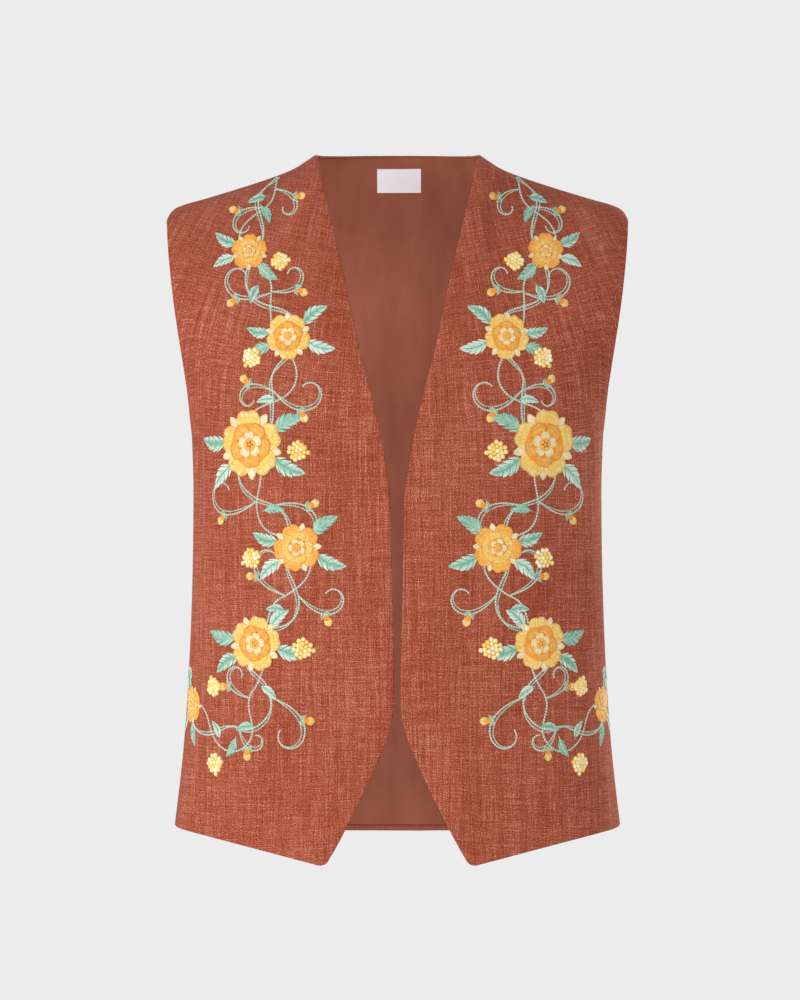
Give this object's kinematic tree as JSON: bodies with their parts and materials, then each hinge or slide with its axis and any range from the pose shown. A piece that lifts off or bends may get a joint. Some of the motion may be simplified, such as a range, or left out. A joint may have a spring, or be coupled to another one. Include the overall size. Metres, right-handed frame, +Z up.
{
  "type": "open-front waistcoat",
  "caption": "Sleeveless open-front gilet of slubby rust denim, V neck and pointed front hems, embroidered vine and blossoms, plain lining, shown hollow as worn.",
  "frame": {"origin": "middle of the neck opening, level with the neck points of the shoulders, where the wearer holds it", "axes": "+Z up, the fronts face -Y, +X is the wearer's left"},
  "size_m": [0.4122, 0.2226, 0.6338],
  "materials": {
    "denim": "slub-weave rust denim, matt",
    "lining": "smooth plain-weave lining, slight sheen",
    "label": "woven label tape, blank"
  },
  "bodies": {
    "root": {"front_left": "denim", "front_right": "denim", "back": "denim", "back_lining": "lining", "label": "label"}
  },
  "joints": []
}
